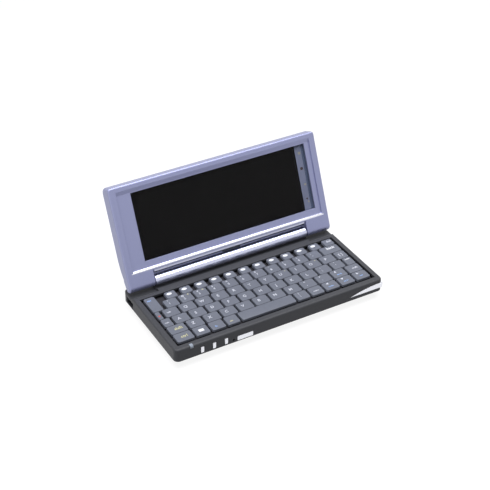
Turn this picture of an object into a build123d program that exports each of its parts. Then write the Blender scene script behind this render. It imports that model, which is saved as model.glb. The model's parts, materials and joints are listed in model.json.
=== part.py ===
from build123d import *
from math import acos, asin, atan2, cos, hypot, radians, sin
import os

# A handheld computer with a hinged screen, in millimetres.
# The origin is the middle of the four feet, in the plane they stand on.
# X runs to the user's right, Y away from the user and Z up.
# The screen is modelled as it stands in use, leaning back.

os.makedirs("parts", exist_ok=True)

# Overall size of the base
width = 189.0
front_y = -47.5
rear_y = 44.0
corner_r = 4.2
deck_edge_r = 1.6
half_w = width / 2
depth = rear_y - front_y
middle_y = (front_y + rear_y) / 2

# Heights in the base, from the feet up
feet_h = 1.0
floor_in_z = 2.8
parting_z = 7.4
deck_z = 18.6
deck_t = 1.8
wall_t = 1.8
underside_x = 85.5
underside_front_y = -38.5
underside_rear_y = 41.0

# Keyboard well, plate and keys
well_x = 90.0
well_front_y = -42.4
well_rear_y = 22.7
plate_z = 13.8
plate_t = 0.6
sheet_t = 0.5
key_low_z = 16.2
key_top_z = 18.3
key_gap_x = 0.8
key_gap_y = 0.35
key_draft_x = 0.7
key_draft_y = 0.1
key_corner_r = 1.4
key_wall = 1.9
key_roof = 1.1
dome_w = 4.0
dome_d = 3.0
dome_h = 0.9
row_pitch = 10.5
key_left_x = -88.5
key_right_x = 89.1
key_front_y = -39.0

# Hinge
axis_y = 35.38
axis_z = 23.24
open_angle = 113.4
spine_r = 4.6
spine_bore_r = 3.0
spine_half = 71.2
knuckle_in_x = 71.7
pin_r = 2.0
pin_gap = 0.05
channel_y0 = 29.7
channel_y1 = 41.8
channel_slope = 1.4
channel_z = 17.3
channel_under_z = 15.6
channel_block_y0 = 25.4
pocket_y0 = 26.0
pocket_slope = 3.4
pocket_z = 16.2
pocket_under_z = 14.8
pocket_profile = [
    (pocket_y0, deck_z),
    (pocket_y0 + pocket_slope, pocket_z),
    (rear_y + 1, pocket_z),
    (rear_y + 1, axis_z),
    (pocket_y0, axis_z),
]
saddle_w = 5.0
saddle_z = 19.6

# Lid, in its own frame: s runs up the lid, n out of its front face
lid_len = 86.0
lid_t = 14.2
lid_split_n = -5.0
lid_corner_r = 2.6
axis_s = 3.95
axis_n = -4.39
knuckle_r = 4.39
lid_foot_s = 9.6
lid_foot_n = -10.4
lid_foot_top_s = 13.4
lid_wall = 2.2
lid_back_t = 1.8
lip_r = 5.0
lip_end_angle = radians(40.0)
lip_half = 71.0
pad_x0 = -7.0
pad_x1 = 9.0
pad_s0 = 9.0
pad_n = -2.7
lid_rim_r = 1.6
bezel_step = 1.2
field_half = 88.5
field_s1 = 81.7
field_slope = 3.2
bead_s = 14.8
bead_r = 1.6
bead_half = 90.65
window_x0 = -76.2
window_x1 = 83.7
window_s0 = 21.6
window_s1 = 77.9
strip_x0 = 73.2
bezel_back_n = -2.6
bezel_hollow_s0 = 18.0
cover_hollow_s0 = 16.0
lid_hollow_s1 = 83.6
glass_t = 1.0
display_n = -3.7
display_t = 1.0
display_case_t = 4.0
lamp_n = -8.8

lean = radians(open_angle - 90)
lid_up = Vector(0, sin(lean), cos(lean))
lid_out = Vector(0, -cos(lean), sin(lean))
lid_origin = Vector(0, axis_y, axis_z) - lid_up * axis_s - lid_out * axis_n
lid_face = Plane(origin=lid_origin, x_dir=(1, 0, 0), z_dir=lid_out)
lid_side = Plane(origin=lid_origin, x_dir=lid_up, z_dir=(1, 0, 0))
knuckle_len = half_w - knuckle_in_x


def lid_place(edge):
    """Middle of an edge in the lid's own frame."""
    return lid_face.to_local_coords(edge.center())


def save(builder, name):
    """Label a finished piece and write it to its own file."""
    builder.part.label = name
    export_step(builder.part, f"parts/{name}.step")


def row_front(row):
    """Front edge of a key row, where row 0 is the one nearest the user."""
    return key_front_y + row * row_pitch


# Base shells

# The lower shell is a boat-shaped tray: its walls run in towards a smaller flat bottom.
battery_x0 = -78.0
battery_x1 = -12.0
battery_y0 = -6.0
battery_y1 = 27.0
battery_gap = 0.3
bay_wall = 1.2
latch_x = -3.0
latch_y = 10.5
latch_w = 12.0
latch_d = 8.0
latch_slide = 4.0
cover_x = 44.0
cover_y = -6.0
cover_r = 13.0
speaker_x = -58.0
speaker_y = -22.0
screw_spots = [(-76, -30), (76, -30), (-76, 37), (76, 37)]
screw_head_r = 2.6
foot_spots = [(-66, -33.5), (66, -33.5), (-66, 33.5), (66, 33.5)]
foot_r = 4.5

underside_y = (underside_front_y + underside_rear_y) / 2
underside_d = underside_rear_y - underside_front_y
with BuildPart() as lower_shell:
    with BuildSketch(Plane.XY.offset(parting_z)):
        with Locations((0, middle_y)):
            RectangleRounded(width, depth, corner_r)
    with BuildSketch(Plane.XY.offset(feet_h)):
        with Locations((0, underside_y)):
            RectangleRounded(2 * underside_x, underside_d, corner_r)
    loft(ruled=True)
    with BuildSketch(Plane.XY.offset(parting_z)):
        with Locations((0, middle_y)):
            RectangleRounded(width - 2 * wall_t, depth - 2 * wall_t, corner_r - wall_t)
    with BuildSketch(Plane.XY.offset(floor_in_z)):
        with Locations((0, underside_y)):
            RectangleRounded(2 * underside_x, underside_d, corner_r - wall_t)
    loft(ruled=True, mode=Mode.SUBTRACT)
    # Bay for the battery: an opening in the floor with a low wall round it
    bay_x = (battery_x0 + battery_x1) / 2
    bay_y = (battery_y0 + battery_y1) / 2
    bay_w = battery_x1 - battery_x0 + 2 * battery_gap
    bay_d = battery_y1 - battery_y0 + 2 * battery_gap
    with BuildSketch(Plane.XY.offset(floor_in_z)):
        with Locations((bay_x, bay_y)):
            Rectangle(bay_w + 2 * bay_wall, bay_d + 2 * bay_wall)
    extrude(amount=parting_z - floor_in_z)
    with BuildSketch(Plane.XY.offset(feet_h)):
        with Locations((bay_x, bay_y)):
            Rectangle(bay_w, bay_d)
    extrude(amount=parting_z - feet_h, mode=Mode.SUBTRACT)
    # Track of the battery latch
    with BuildSketch(Plane.XY.offset(feet_h)):
        with Locations((latch_x + latch_slide / 2, latch_y)):
            Rectangle(latch_w + latch_slide + 0.4, latch_d + 0.4)
    extrude(amount=1.0, mode=Mode.SUBTRACT)
    # Round opening of the backup cell, with a ledge that its cover seats against
    with BuildSketch(Plane.XY.offset(floor_in_z)):
        with Locations((cover_x, cover_y)):
            Circle(cover_r + 1.4)
    extrude(amount=parting_z - 1.0 - floor_in_z)
    with BuildSketch(Plane.XY.offset(feet_h)):
        with Locations((cover_x, cover_y)):
            Circle(cover_r + 0.1)
    extrude(amount=1.3, mode=Mode.SUBTRACT)
    with BuildSketch(Plane.XY.offset(feet_h)):
        with Locations((cover_x, cover_y)):
            Circle(10.4)
    extrude(amount=parting_z - feet_h, mode=Mode.SUBTRACT)
    # Speaker grille: a ring of small holes round a middle one
    with BuildSketch(Plane.XY.offset(feet_h)):
        with Locations((speaker_x, speaker_y)):
            Circle(0.9)
        with Locations((speaker_x, speaker_y)):
            with PolarLocations(4.5, 6):
                Circle(0.9)
    extrude(amount=floor_in_z - feet_h, mode=Mode.SUBTRACT)
    # Screw bosses with countersunk seats, and the posts that carry the board
    with BuildSketch(Plane.XY.offset(floor_in_z)):
        with Locations(*screw_spots):
            Circle(3.6)
    extrude(amount=3.0)
    with BuildSketch(Plane.XY.offset(feet_h)):
        with Locations(*screw_spots):
            Circle(screw_head_r + 0.1)
    extrude(amount=2.2, mode=Mode.SUBTRACT)
    with BuildSketch(Plane.XY.offset(feet_h)):
        with Locations(*screw_spots):
            Circle(1.3)
    extrude(amount=parting_z, mode=Mode.SUBTRACT)
    # Round recesses that hold the feet
    with BuildSketch(Plane.XY.offset(feet_h)):
        with Locations(*foot_spots):
            Circle(foot_r)
    extrude(amount=0.6, mode=Mode.SUBTRACT)
save(lower_shell, "base_lower_shell")

# The upper case is one moulding: the four outer walls, the deck with its keyboard well, and
# at the rear the channel whose saddle carries the hinge spine between the lid's two knuckles.
voice_key_xs = [-71.2, -60.9, -50.5]
voice_key_w = 3.2
voice_key_z0 = 8.1
voice_key_z1 = 14.0
badge_x0 = -41.0
badge_x1 = -27.0
badge_z0 = 8.0
badge_z1 = 12.2
mic_x = -44.2
mic_z = 10.0
light_x = -80.4
light_w = 2.6
stylus_y = -44.7
stylus_z = 12.6
stylus_r = 1.9
stylus_x0 = -10.0
stylus_head_x = 62.0
card_y0 = -31.0
card_y1 = 24.0
card_z0 = 7.8
card_z1 = 13.2
phone_y0 = 26.5
phone_y1 = 37.5
phone_z0 = 7.9
phone_z1 = 13.9
power_x = -66.0
jack_z = 11.8
power_r = 2.8
headphone_y = 35.0
headphone_r = 1.8
serial_x = 4.0
serial_w = 30.0
serial_z0 = 8.8
serial_z1 = 14.4
window_ir_x = 52.0
window_ir_w = 18.0
window_ir_z0 = 8.6
window_ir_z1 = 14.2
eject_y = 28.5
eject_w = 6.0

with BuildPart() as deck:
    with BuildSketch(Plane.XY.offset(parting_z)):
        with Locations((0, middle_y)):
            RectangleRounded(width, depth, corner_r)
    extrude(amount=deck_z - parting_z)
    fillet(deck.faces().sort_by(Axis.Z)[-1].edges(), deck_edge_r)
    # Hollow under the deck, then the well through it
    with BuildSketch(Plane.XY.offset(parting_z)):
        hollow_d = rear_y - wall_t - well_front_y
        with Locations((0, (rear_y - wall_t + well_front_y) / 2)):
            Rectangle(width - 2 * wall_t, hollow_d)
    extrude(amount=deck_z - deck_t - parting_z, mode=Mode.SUBTRACT)
    with BuildSketch(Plane.XY.offset(parting_z)):
        with Locations((0, (well_front_y + well_rear_y) / 2)):
            Rectangle(2 * well_x, well_rear_y - well_front_y)
    extrude(amount=deck_z, mode=Mode.SUBTRACT)
    # The deck is thicker at the rear, where the channel of the hinge is sunk into it
    for x0, x1, under_z in (
        (-half_w + wall_t, -spine_half, pocket_under_z),
        (-spine_half, spine_half, channel_under_z),
        (spine_half, half_w - wall_t, pocket_under_z),
    ):
        with BuildSketch(Plane.XY.offset(under_z)):
            with Locations(((x0 + x1) / 2, (channel_block_y0 + rear_y - wall_t) / 2)):
                Rectangle(x1 - x0, rear_y - wall_t - channel_block_y0)
        extrude(amount=deck_z - deck_t - under_z)
    # Channel round the spine, and a deeper pocket under each knuckle that runs out to the
    # side and the rear
    for x0, x1, profile in (
        (
            -spine_half,
            spine_half,
            [
                (channel_y0, deck_z),
                (channel_y0 + channel_slope, channel_z),
                (channel_y1 - channel_slope, channel_z),
                (channel_y1, deck_z),
                (channel_y1, axis_z),
                (channel_y0, axis_z),
            ],
        ),
        (-half_w - 1, -spine_half, pocket_profile),
        (spine_half, half_w + 1, pocket_profile),
    ):
        with BuildSketch(Plane.YZ.offset(x0)):
            with BuildLine():
                Polyline(*profile, close=True)
            make_face()
        extrude(amount=x1 - x0, mode=Mode.SUBTRACT)
    # Saddle along the channel with a trough that the spine lies in
    with BuildSketch(Plane.YZ.offset(-spine_half)):
        with Locations((axis_y, (channel_z + saddle_z) / 2)):
            Rectangle(saddle_w, saddle_z - channel_z)
    extrude(amount=2 * spine_half)
    with BuildSketch(Plane.YZ.offset(-spine_half - 0.5)):
        with Locations((axis_y, axis_z)):
            Circle(spine_r)
    extrude(amount=2 * spine_half + 1, mode=Mode.SUBTRACT)
    # Sockets of the three voice keys, the badge recess and the microphone hole in the front wall
    with BuildSketch(Plane.XZ.offset(-front_y)):
        for x in voice_key_xs:
            with Locations((x, (voice_key_z0 + voice_key_z1) / 2)):
                Rectangle(voice_key_w + 0.4, voice_key_z1 - voice_key_z0 + 0.4)
    extrude(amount=-(well_front_y - front_y), mode=Mode.SUBTRACT)
    with BuildSketch(Plane.XZ.offset(-front_y)):
        with Locations(((badge_x0 + badge_x1) / 2, (badge_z0 + badge_z1) / 2)):
            RectangleRounded(badge_x1 - badge_x0, badge_z1 - badge_z0, 0.8)
    extrude(amount=-0.5, mode=Mode.SUBTRACT)
    with BuildSketch(Plane.XZ.offset(-front_y)):
        with Locations((mic_x, mic_z)):
            Circle(1.0)
    extrude(amount=-(well_front_y - front_y), mode=Mode.SUBTRACT)
    # Notch in the front lip for the status light
    with BuildSketch(Plane.XZ.offset(-front_y)):
        with Locations((light_x, deck_z - 1.2)):
            Rectangle(light_w, 2.4)
    extrude(amount=-3.0, mode=Mode.SUBTRACT)
    # Silo of the stylus: a round hole that opens into a tapering notch at the right front
    with BuildSketch(Plane.YZ.offset(stylus_x0 - 1.0)):
        with Locations((stylus_y, stylus_z)):
            Circle(stylus_r + 0.15)
    extrude(amount=half_w - stylus_x0 + 1.0, mode=Mode.SUBTRACT)
    with BuildSketch(Plane.XZ.offset(-front_y + 1)):
        with BuildLine():
            tip = (stylus_head_x - 0.6, 10.1)
            top_end = (half_w + 1, 15.6)
            top = ThreePointArc(tip, (78.0, 14.4), top_end)
            Line(top @ 1, (half_w + 1, 10.0))
            Line((half_w + 1, 10.0), tip)
        make_face()
    extrude(amount=-4.9, mode=Mode.SUBTRACT)
    # Slot of the card cage and the way through for its eject button, in the right wall
    with BuildSketch(Plane.YZ.offset(half_w)):
        with Locations(((card_y0 + card_y1) / 2, (card_z0 + card_z1) / 2)):
            Rectangle(card_y1 - card_y0, card_z1 - card_z0)
        with Locations((eject_y, (card_z0 + card_z1) / 2)):
            Rectangle(eject_w + 0.4, 3.4)
    extrude(amount=-wall_t, mode=Mode.SUBTRACT)
    with BuildSketch(Plane.YZ.offset(half_w)):
        with Locations((headphone_y, jack_z)):
            Circle(headphone_r + 1.2)
    extrude(amount=-wall_t, mode=Mode.SUBTRACT)
    # Opening of the phone socket in the left wall
    with BuildSketch(Plane.YZ.offset(-half_w)):
        with Locations(((phone_y0 + phone_y1) / 2, (phone_z0 + phone_z1) / 2)):
            Rectangle(phone_y1 - phone_y0, phone_z1 - phone_z0)
    extrude(amount=wall_t, mode=Mode.SUBTRACT)
    # Openings in the rear wall: power, serial and the infrared window
    with BuildSketch(Plane.XZ.offset(-rear_y)):
        with Locations((power_x, jack_z)):
            Circle(power_r + 1.0)
        with Locations((serial_x, (serial_z0 + serial_z1) / 2)):
            RectangleRounded(serial_w, serial_z1 - serial_z0, 1.2)
        with Locations((window_ir_x, (window_ir_z0 + window_ir_z1) / 2)):
            Rectangle(window_ir_w, window_ir_z1 - window_ir_z0)
    extrude(amount=wall_t, mode=Mode.SUBTRACT)
save(deck, "keyboard_deck")

# Fittings of the front wall

for x, name in zip(voice_key_xs, ("record_key", "play_key", "stop_key")):
    with BuildPart() as voice_key:
        with BuildSketch(Plane.XZ.offset(-front_y - 0.2)):
            with Locations((x, (voice_key_z0 + voice_key_z1) / 2)):
                RectangleRounded(voice_key_w, voice_key_z1 - voice_key_z0, 0.9)
        extrude(amount=-3.4)
        chamfer(voice_key.faces().sort_by(Axis.Y)[0].edges(), 0.35)
    save(voice_key, name)

with BuildPart() as badge:
    with BuildSketch(Plane.XZ.offset(-front_y - 0.5)):
        with Locations(((badge_x0 + badge_x1) / 2, (badge_z0 + badge_z1) / 2)):
            RectangleRounded(badge_x1 - badge_x0, badge_z1 - badge_z0, 0.8)
    extrude(amount=0.45)
save(badge, "badge_plate")

with BuildPart() as light:
    with BuildSketch(Plane.XZ.offset(-front_y)):
        with Locations((light_x, deck_z - 1.2)):
            Rectangle(light_w, 2.4)
    extrude(amount=-3.0)
    chamfer(light.edges().filter_by(Axis.X).group_by(Axis.Z)[-1].sort_by(Axis.Y)[0], 0.9)
save(light, "status_light")

with BuildPart() as microphone:
    with BuildSketch(Plane.XZ.offset(-well_front_y)):
        with Locations((mic_x, mic_z)):
            Circle(2.4)
    extrude(amount=-2.2)
save(microphone, "microphone")

# The stylus is a thin rod with a curved silver head that fills the notch at the corner.
with BuildPart() as stylus:
    with BuildSketch(Plane.YZ.offset(stylus_x0 + 4.0)):
        with Locations((stylus_y, stylus_z)):
            Circle(stylus_r)
    extrude(amount=stylus_head_x - stylus_x0)
    with BuildSketch(Plane.YZ.offset(stylus_x0 + 4.0)):
        with Locations((stylus_y, stylus_z)):
            Circle(stylus_r)
    with BuildSketch(Plane.YZ.offset(stylus_x0)):
        with Locations((stylus_y, stylus_z)):
            Circle(0.5)
    loft()
    with BuildSketch(Plane.XZ.offset(-front_y - 0.1)):
        with BuildLine():
            tip = (stylus_head_x + 1.2, 10.5)
            top_end = (half_w - 0.2, 15.2)
            top = ThreePointArc(tip, (78.6, 14.05), top_end)
            Line(top @ 1, (half_w - 0.2, 10.3))
            Line((half_w - 0.2, 10.3), tip)
        make_face()
    extrude(amount=-3.4)
save(stylus, "stylus")

# Sockets and the infrared window

with BuildPart() as phone_jack:
    with BuildSketch(Plane.YZ.offset(-half_w + wall_t)):
        with Locations(((phone_y0 + phone_y1) / 2, (phone_z0 + phone_z1) / 2)):
            Rectangle(phone_y1 - phone_y0 + 2.0, phone_z1 - phone_z0 + 1.0)
    extrude(amount=13.0)
    with BuildSketch(Plane.YZ.offset(-half_w + wall_t)):
        with Locations(((phone_y0 + phone_y1) / 2, (phone_z0 + phone_z1) / 2)):
            Rectangle(9.8, 5.8)
    extrude(amount=11.5, mode=Mode.SUBTRACT)
save(phone_jack, "phone_jack")

with BuildPart() as power_jack:
    with BuildSketch(Plane.XZ.offset(-rear_y + wall_t)):
        with Locations((power_x, jack_z)):
            Rectangle(9.0, 7.4)
    extrude(amount=10.0)
    with BuildSketch(Plane.XZ.offset(-rear_y + wall_t)):
        with Locations((power_x, jack_z)):
            Circle(power_r)
    extrude(amount=9.0, mode=Mode.SUBTRACT)
    with BuildSketch(Plane.XZ.offset(-rear_y + wall_t + 1.0)):
        with Locations((power_x, jack_z)):
            Circle(0.8)
    extrude(amount=9.0)
save(power_jack, "power_jack")

with BuildPart() as headphone_jack:
    with BuildSketch(Plane.YZ.offset(half_w - wall_t)):
        with Locations((headphone_y, jack_z)):
            Rectangle(6.4, 5.8)
    extrude(amount=-14.0)
    with BuildSketch(Plane.YZ.offset(half_w - wall_t)):
        with Locations((headphone_y, jack_z)):
            Circle(headphone_r)
    extrude(amount=-12.5, mode=Mode.SUBTRACT)
save(headphone_jack, "headphone_jack")

# The serial connector has a metal rim and a flat tongue that carries the contacts.
with BuildPart() as serial_connector:
    with BuildSketch(Plane.XZ.offset(-rear_y + 0.4)):
        with Locations((serial_x, (serial_z0 + serial_z1) / 2)):
            RectangleRounded(serial_w - 0.4, serial_z1 - serial_z0 - 0.4, 1.0)
    extrude(amount=8.4)
    with BuildSketch(Plane.XZ.offset(-rear_y + 0.4)):
        with Locations((serial_x, (serial_z0 + serial_z1) / 2)):
            RectangleRounded(serial_w - 1.6, serial_z1 - serial_z0 - 1.6, 0.6)
            Rectangle(serial_w - 5.0, 1.4, mode=Mode.SUBTRACT)
    extrude(amount=6.0, mode=Mode.SUBTRACT)
save(serial_connector, "serial_connector")

with BuildPart() as ir_window:
    with BuildSketch(Plane.XZ.offset(-rear_y)):
        with Locations((window_ir_x, (window_ir_z0 + window_ir_z1) / 2)):
            Rectangle(window_ir_w, window_ir_z1 - window_ir_z0)
    extrude(amount=wall_t)
    with BuildSketch(Plane.XZ.offset(-rear_y + wall_t)):
        with Locations((window_ir_x, (window_ir_z0 + window_ir_z1) / 2)):
            Rectangle(window_ir_w + 2.0, window_ir_z1 - window_ir_z0 + 1.6)
    extrude(amount=0.8)
save(ir_window, "infrared_window")

# Card cage: two channelled rails, a thin roof and floor, and a header at the inner end
cage_x0 = 12.0
cage_t = 0.4
with BuildPart() as card_cage:
    with BuildSketch(Plane.YZ.offset(half_w - wall_t)):
        with Locations(((card_y0 + card_y1) / 2, (card_z0 + card_z1) / 2)):
            Rectangle(card_y1 - card_y0 + 3.0, card_z1 - card_z0 + 2 * cage_t)
            Rectangle(card_y1 - card_y0, card_z1 - card_z0, mode=Mode.SUBTRACT)
    extrude(amount=-(half_w - wall_t - cage_x0))
    with BuildSketch(Plane.YZ.offset(cage_x0)):
        with Locations(((card_y0 + card_y1) / 2, (card_z0 + card_z1) / 2)):
            Rectangle(card_y1 - card_y0, card_z1 - card_z0)
    extrude(amount=4.0)
save(card_cage, "card_cage")

# Eject button: a pad outside the wall on a flat push rod beside the cage
with BuildPart() as eject_button:
    with BuildSketch(Plane.YZ.offset(half_w + 1.6)):
        with Locations((eject_y, (card_z0 + card_z1) / 2)):
            RectangleRounded(eject_w, 3.0, 0.8)
    extrude(amount=-5.0)
    with BuildSketch(Plane.YZ.offset(half_w - 3.4)):
        with Locations((eject_y, (card_z0 + card_z1) / 2)):
            Rectangle(2.4, 1.2)
    extrude(amount=-56.0)
save(eject_button, "card_eject_button")

# Boards, battery and cells

board_z = 5.8
board_t = 1.0
with BuildPart() as main_board:
    with BuildSketch(Plane.XY.offset(board_z)):
        with Locations((0, 2.0)):
            Rectangle(168, 78)
        with Locations((bay_x, bay_y)):
            Rectangle(bay_w + 2 * bay_wall + 0.6, bay_d + 2 * bay_wall + 0.6, mode=Mode.SUBTRACT)
        with Locations((cover_x, cover_y)):
            Circle(cover_r + 1.7, mode=Mode.SUBTRACT)
        with Locations(*screw_spots):
            Circle(1.3, mode=Mode.SUBTRACT)
    extrude(amount=board_t)
    # Processor, memory and interface chips
    chips = [(-30, -24, 20, 20), (-4, -24, 11, 18), (-72, -15, 12, 12), (0, 35, 12, 8)]
    with BuildSketch(Plane.XY.offset(board_z + board_t)):
        for x, y, w, d in chips:
            with Locations((x, y)):
                Rectangle(w, d)
    extrude(amount=1.4)
save(main_board, "main_board")

battery_top_z = 12.6
with BuildPart() as battery:
    with BuildSketch(Plane.XY.offset(feet_h)):
        with Locations((bay_x, bay_y)):
            Rectangle(battery_x1 - battery_x0, battery_y1 - battery_y0)
    extrude(amount=battery_top_z - feet_h)
    # The two cells show as rounded shoulders along the top
    chamfer(battery.faces().sort_by(Axis.Z)[-1].edges().filter_by(Axis.X), 2.0)
    # Finger grooves across the outer face
    with BuildSketch(Plane.XY.offset(feet_h)):
        with Locations((battery_x0 + 12, bay_y)):
            with GridLocations(3.0, 0, 5, 1):
                Rectangle(1.2, 14)
    extrude(amount=0.5, mode=Mode.SUBTRACT)
save(battery, "battery_pack")

with BuildPart() as latch:
    with BuildSketch(Plane.XY.offset(feet_h)):
        with Locations((latch_x, latch_y)):
            Rectangle(latch_w, latch_d)
    extrude(amount=1.0)
    with BuildSketch(Plane.XY.offset(feet_h)):
        with Locations((latch_x, latch_y)):
            with GridLocations(2.0, 0, 4, 1):
                Rectangle(0.9, latch_d - 2.0)
    extrude(amount=0.4, mode=Mode.SUBTRACT)
save(latch, "battery_latch")

with BuildPart() as cover:
    with BuildSketch(Plane.XY.offset(feet_h)):
        with Locations((cover_x, cover_y)):
            Circle(cover_r)
    extrude(amount=1.3)
    with BuildSketch(Plane.XY.offset(feet_h)):
        with Locations((cover_x, cover_y)):
            SlotOverall(16, 1.8)
    extrude(amount=0.7, mode=Mode.SUBTRACT)
save(cover, "backup_battery_cover")

with BuildPart() as coin_cell:
    with BuildSketch(Plane.XY.offset(feet_h + 1.3)):
        with Locations((cover_x, cover_y)):
            Circle(10.0)
    extrude(amount=3.2)
    chamfer(coin_cell.faces().sort_by(Axis.Z)[-1].edges(), 0.4)
save(coin_cell, "coin_cell")

with BuildPart() as speaker:
    with BuildSketch(Plane.XY.offset(floor_in_z)):
        with Locations((speaker_x, speaker_y)):
            Circle(9.0)
    extrude(amount=2.6)
    with BuildSketch(Plane.XY.offset(floor_in_z)):
        with Locations((speaker_x, speaker_y)):
            Circle(7.6)
    extrude(amount=0.8, mode=Mode.SUBTRACT)
save(speaker, "speaker")

with BuildPart() as feet:
    with BuildSketch(Plane.XY):
        with Locations(*foot_spots):
            Circle(foot_r)
    extrude(amount=feet_h + 0.6)
    chamfer(feet.edges().filter_by(GeomType.CIRCLE).group_by(Axis.Z)[0], 0.4)
save(feet, "rubber_feet")

with BuildPart() as screws:
    with BuildSketch(Plane.XY.offset(feet_h + 0.9)):
        with Locations(*screw_spots):
            Circle(screw_head_r)
    extrude(amount=1.3)
    with BuildSketch(Plane.XY.offset(feet_h + 2.2)):
        with Locations(*screw_spots):
            Circle(1.2)
    extrude(amount=3.6)
    with BuildSketch(Plane.XY.offset(feet_h + 0.9)):
        with Locations(*screw_spots):
            Rectangle(3.0, 0.7)
            Rectangle(0.7, 3.0)
    extrude(amount=0.6, mode=Mode.SUBTRACT)
save(screws, "base_screws")

# Keyboard: a steel pan under the deck, a rubber dome sheet and the keys

with BuildPart() as plate:
    pan_y0 = well_front_y + 0.05
    pan_y1 = well_rear_y + 2.0
    with BuildSketch(Plane.XY.offset(plate_z)):
        with Locations((0, (pan_y0 + pan_y1) / 2)):
            Rectangle(2 * well_x + 4.0, pan_y1 - pan_y0)
    extrude(amount=deck_z - deck_t - plate_z)
    with BuildSketch(Plane.XY.offset(plate_z + plate_t)):
        with Locations((0, (pan_y0 + pan_y1) / 2)):
            Rectangle(2 * well_x + 2.8, pan_y1 - pan_y0 - 1.2)
    extrude(amount=deck_z, mode=Mode.SUBTRACT)
save(plate, "keyboard_plate")

# Key rows, from the one nearest the user: each entry is a node with its cells' edges along X.
letter_pitch = 14.53
number_pitch = 13.3
function_pitch = 13.52
function_gap = 2.4
function_row_less = 1.6


def run(x0, pitch, count):
    """Edges of a run of equal cells."""
    return [(x0 + i * pitch, x0 + (i + 1) * pitch) for i in range(count)]


function_cells = [(a + function_gap, b) for a, b in run(-73.0, function_pitch, 11)]
key_rows = [
    [
        ("control_key", [(key_left_x, -72.1)]),
        ("start_key", [(-72.1, -58.3)]),
        ("fn_key", [(-58.3, -44.7)]),
        ("alt_key", [(-44.7, -32.1)]),
        ("space_bar", [(-32.1, 18.9)]),
        ("slash_key", [(18.9, 31.9)]),
        ("menu_key", [(31.9, 45.4)]),
        ("left_arrow_key", [(45.4, 60.0)]),
        ("down_arrow_key", [(60.0, 74.6)]),
        ("right_arrow_key", [(74.6, key_right_x)]),
    ],
    [
        ("left_shift_key", [(key_left_x, -72.1)]),
        ("lower_letter_keys", run(-72.1, 14.68, 9)),
        ("up_arrow_key", [(60.02, 74.6)]),
        ("right_shift_key", [(74.6, key_right_x)]),
    ],
    [
        ("caps_key", [(key_left_x, -79.0)]),
        ("home_letter_keys", run(-79.0, 14.6, 9) + [(52.4, 66.4), (66.4, 79.4)]),
        ("enter_key", [(79.4, key_right_x)]),
    ],
    [
        ("power_key", [(key_left_x, -82.6)]),
        ("tab_key", [(-82.0, -67.8)]),
        ("upper_letter_keys", run(-67.8, letter_pitch, 10) + [(77.5, key_right_x)]),
    ],
    [
        ("number_keys", run(-76.2, number_pitch, 11)),
        ("backspace_key", [(70.1, key_right_x)]),
    ],
    [
        ("function_keys", function_cells),
        ("delete_key", [(75.7 + function_gap, key_right_x)]),
    ],
]
tall_escape = (key_left_x, -77.5)

key_spots = []
for row, row_nodes in enumerate(key_rows):
    row_depth = row_pitch - (function_row_less if row == len(key_rows) - 1 else 0.0)
    for name, cells in row_nodes:
        spots = [
            (
                (a + b) / 2,
                row_front(row) + row_depth / 2,
                b - a - key_gap_x,
                row_depth - key_gap_y,
            )
            for a, b in cells
        ]
        key_spots.append((name, spots))
escape_depth = 2 * row_pitch - function_row_less
escape_x = (tall_escape[0] + tall_escape[1]) / 2
escape_w = tall_escape[1] - tall_escape[0] - key_gap_x
escape_spot = (escape_x, row_front(4) + escape_depth / 2, escape_w, escape_depth - key_gap_y)
key_spots.append(("escape_key", [escape_spot]))

# Each cap is hollow and narrows towards its top, more from side to side than front to back.
for name, spots in key_spots:
    with BuildPart() as keys:
        for x, y, w, d in spots:
            with BuildSketch(Plane.XY.offset(key_low_z)):
                with Locations((x, y)):
                    RectangleRounded(w, d, key_corner_r)
            with BuildSketch(Plane.XY.offset(key_top_z)):
                with Locations((x, y)):
                    RectangleRounded(w - 2 * key_draft_x, d - 2 * key_draft_y, key_corner_r)
            loft(ruled=True)
        with BuildSketch(Plane.XY.offset(key_low_z)):
            for x, y, w, d in spots:
                with Locations((x, y)):
                    Rectangle(w - 2 * key_wall, d - 2 * key_wall)
        extrude(amount=key_top_z - key_low_z - key_roof, mode=Mode.SUBTRACT)
    save(keys, name)

# The dome sheet has one low pad under every key, inside the key's hollow.
with BuildPart() as dome_sheet:
    with BuildSketch(Plane.XY.offset(plate_z + plate_t)):
        with Locations((0, (well_front_y + well_rear_y) / 2)):
            Rectangle(2 * well_x - 1.0, well_rear_y - well_front_y - 1.8)
    extrude(amount=sheet_t)
    with BuildSketch(Plane.XY.offset(plate_z + plate_t + sheet_t)):
        for name, spots in key_spots:
            for x, y, w, d in spots:
                with Locations((x, y)):
                    Rectangle(min(w - 2 * key_wall - 0.4, dome_w), dome_d)
    extrude(amount=dome_h)
save(dome_sheet, "key_dome_sheet")

# Hinge: a silver spine tube on the base and a steel pin at each end

with BuildPart() as spine:
    with BuildSketch(Plane.YZ.offset(-spine_half)):
        with Locations((axis_y, axis_z)):
            Circle(spine_r)
    extrude(amount=2 * spine_half)
    round_ends = spine.edges().filter_by(GeomType.CIRCLE)
    fillet(round_ends, 1.0)
    with BuildSketch(Plane.YZ.offset(-spine_half + 12)):
        with Locations((axis_y, axis_z)):
            Circle(spine_bore_r)
    extrude(amount=2 * spine_half - 24, mode=Mode.SUBTRACT)
    with BuildSketch(Plane.YZ.offset(-spine_half)):
        with Locations((axis_y, axis_z)):
            Circle(pin_r)
    extrude(amount=2 * spine_half, mode=Mode.SUBTRACT)
save(spine, "hinge_spine")

pin_in = spine_half - 12.0
pin_out = half_w - 3.0
with BuildPart() as pins:
    with BuildSketch(Plane.YZ.offset(pin_in)):
        with Locations((axis_y, axis_z)):
            Circle(pin_r)
    extrude(amount=pin_out - pin_in)
    mirror(about=Plane.YZ)
save(pins, "hinge_pins")

# Lid front: the frame round the window, with a bead along its foot and the two knuckles

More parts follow.
